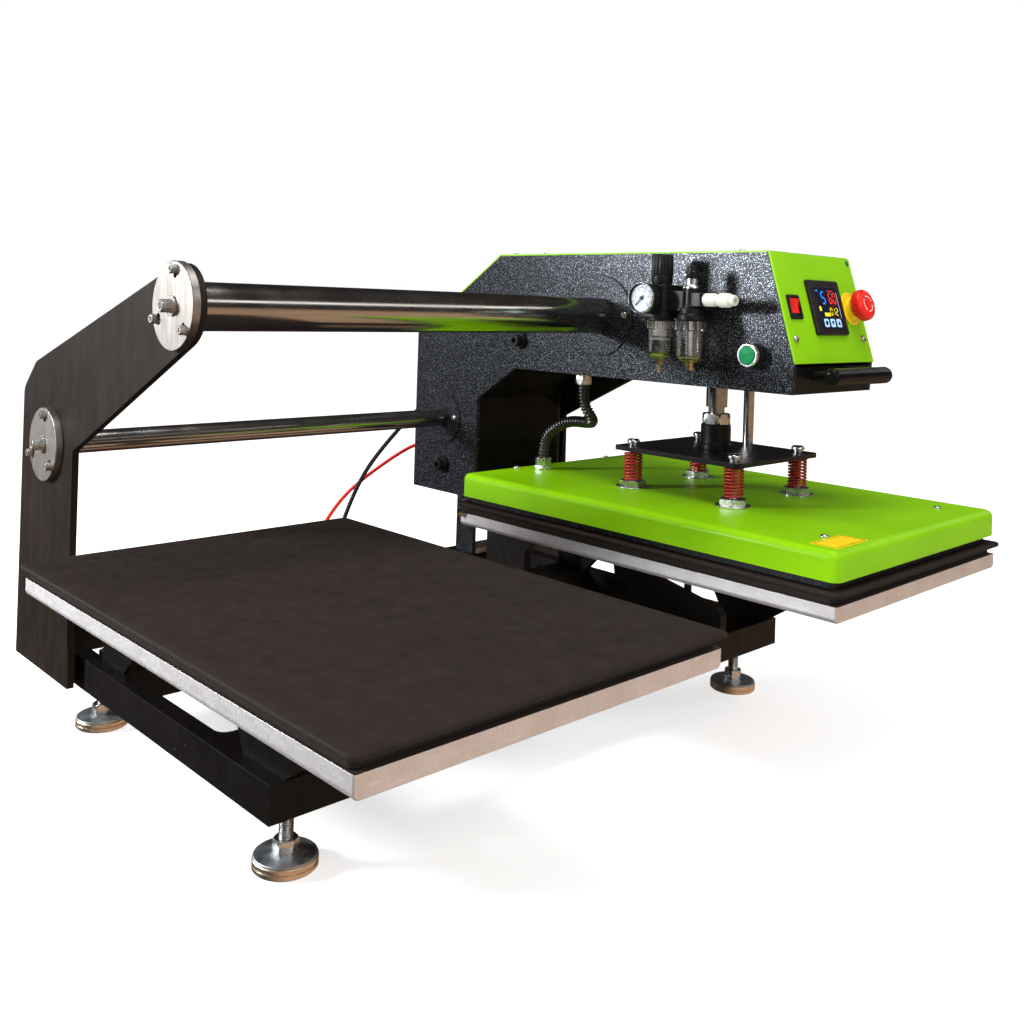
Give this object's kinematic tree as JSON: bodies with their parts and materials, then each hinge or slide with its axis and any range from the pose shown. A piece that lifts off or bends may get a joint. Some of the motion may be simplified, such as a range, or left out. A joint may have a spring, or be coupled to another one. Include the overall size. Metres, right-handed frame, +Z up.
{
  "type": "dual station heat press",
  "caption": "Pneumatic craft heat press whose sprung upper platen hangs from a carriage that shuttles along two shafts between side-by-side padded lower platens.",
  "frame": {"origin": "on the floor under the middle of the machine's bounding box, cords aside", "axes": "+Z up, +X to the operator's right along the shafts, -Y towards the operator"},
  "size_m": [1.014, 0.96, 0.6095],
  "materials": {
    "aluminium_slab": "sawn and brushed",
    "bezels": "black, silver and yellow moulded",
    "black_paint": "satin black powder coat",
    "black_plastic": "black moulded",
    "brass": "turned",
    "brushed_disc": "brushed",
    "cable_black": "black flexible sheath",
    "clear_bowl": "clear polycarbonate",
    "conduit_black": "ribbed black nylon",
    "foam": "closed-cell silicone foam",
    "gloss_black": "glossy black",
    "green_button": "green moulded",
    "green_paint": "glossy yellow-green powder coat",
    "hammertone_paint": "charcoal speckled hammertone paint",
    "heated_slab": "cast, blue-grey",
    "hose_red": "red polyurethane hose",
    "polished_shaft": "hard chromed and ground",
    "red_plastic": "red moulded",
    "rubber_sheet": "matte dark brown-black",
    "spring_red": "red enamel",
    "zinc": "bright zinc plated"
  },
  "bodies": {
    "frame": {"base_frame": "black_paint", "left_side_plate": "black_paint", "right_side_plate": "black_paint", "upper_rail": "polished_shaft", "lower_rail": "polished_shaft", "rail_end_discs": "brushed_disc", "rail_end_screws": "zinc", "left_lower_platen": "aluminium_slab", "right_lower_platen": "aluminium_slab", "foam_pads": "foam", "pad_top_sheets": "rubber_sheet", "platen_supports": "black_paint"},
    "carriage": {"carriage_plate_left": "hammertone_paint", "carriage_plate_right": "hammertone_paint", "carriage_spacers": "zinc", "head_cover": "green_paint", "rear_panel": "black_paint", "head_underside": "gloss_black", "upper_bearings": "black_paint", "lower_bearings": "black_paint", "carriage_stop_bolts": "black_paint", "control_panel": "green_paint", "switch_bezels": "bezels", "temperature_controller": "black_plastic", "front_handle": "gloss_black", "air_cylinder": "aluminium_slab", "solenoid_valve": "black_plastic", "frl_body": "black_plastic", "frl_bowls": "clear_bowl", "pressure_gauge": "black_plastic", "carriage_fittings": "zinc", "conduit": "conduit_black", "power_cable": "cable_black", "power_cable_coil": "cable_black", "power_plug": "black_plastic", "air_hose": "hose_red", "air_hose_coil": "hose_red", "air_connector": "brass"},
    "ram": {"piston_rod": "polished_shaft", "ram_coupling": "black_paint", "guide_rod": "polished_shaft", "spring_plate": "black_paint", "die_springs": "spring_red"},
    "upper_platen": {"heat_platen": "heated_slab", "heating_element": "zinc", "platen_cover": "green_paint", "spring_seat_nuts": "zinc", "spring_bolts": "zinc", "conduit_fitting_bottom": "zinc"},
    "start_button_left": {"start_button_left": "green_button"},
    "start_button_right": {"start_button_right": "green_button"},
    "estop_stem": {"estop_stem": "black_plastic"},
    "estop_mushroom": {"estop_mushroom": "red_plastic"},
    "power_rocker": {"power_rocker": "red_plastic"},
    "regulator_knob": {"regulator_knob": "black_plastic"},
    "gauge_needle": {"gauge_needle": "black_plastic"},
    "foot_front_left": {"foot_front_left": "zinc"},
    "foot_front_right": {"foot_front_right": "zinc"},
    "foot_back_left": {"foot_back_left": "zinc"},
    "foot_back_right": {"foot_back_right": "zinc"}
  },
  "joints": [
    {"name": "carriage_shuttle", "type": "slide", "parent": "frame", "child": "carriage", "axis": [1, 0, 0], "range_m": [-0.602, 0]},
    {"name": "press_stroke", "type": "slide", "parent": "carriage", "child": "ram", "axis": [0, 0, 1], "range_m": [0, 0.042], "deforming": ["conduit"]},
    {"name": "platen_float", "type": "slide", "parent": "ram", "child": "upper_platen", "axis": [0, 0, 1], "range_m": [0, 0.004], "stiffness_N_per_m": 20000, "springref_m": -0.004, "deforming": ["die_springs", "conduit"]},
    {"name": "start_button_left_press", "type": "slide", "parent": "carriage", "child": "start_button_left", "axis": [1, 0, 0], "range_m": [0, 0.004], "stiffness_N_per_m": 250},
    {"name": "start_button_right_press", "type": "slide", "parent": "carriage", "child": "start_button_right", "axis": [-1, 0, 0], "range_m": [0, 0.004], "stiffness_N_per_m": 250},
    {"name": "estop_push", "type": "slide", "parent": "carriage", "child": "estop_stem", "axis": [0, 0.9563, -0.2924], "range_m": [0, 0.004]},
    {"name": "estop_twist", "type": "hinge", "parent": "estop_stem", "child": "estop_mushroom", "pos_m": [0.367, -0.2938, 0.54182], "axis": [0, -0.9563, 0.2924], "range_deg": [-30, 0]},
    {"name": "power_rocker_tilt", "type": "hinge", "parent": "carriage", "child": "power_rocker", "pos_m": [0.232, -0.28548, 0.53928], "axis": [1, 0, 0], "range_deg": [-20, 0]},
    {"name": "regulator_turn", "type": "hinge", "parent": "carriage", "child": "regulator_knob", "pos_m": [0.164, -0.135, 0.563], "axis": [0, 0, 1], "continuous": true},
    {"name": "gauge_pointer", "type": "hinge", "parent": "carriage", "child": "gauge_needle", "pos_m": [0.1224, -0.135, 0.545], "axis": [1, 0, 0], "range_deg": [0, 270], "stiffness_Nm_per_rad": 0.002},
    {"name": "foot_front_left_turn", "type": "hinge", "parent": "frame", "child": "foot_front_left", "pos_m": [-0.361, -0.127, 0], "axis": [0, 0, 1], "continuous": true},
    {"name": "foot_front_right_turn", "type": "hinge", "parent": "frame", "child": "foot_front_right", "pos_m": [0.361, -0.127, 0], "axis": [0, 0, 1], "continuous": true},
    {"name": "foot_back_left_turn", "type": "hinge", "parent": "frame", "child": "foot_back_left", "pos_m": [-0.361, 0.298, 0], "axis": [0, 0, 1], "continuous": true},
    {"name": "foot_back_right_turn", "type": "hinge", "parent": "frame", "child": "foot_back_right", "pos_m": [0.361, 0.298, 0], "axis": [0, 0, 1], "continuous": true}
  ]
}
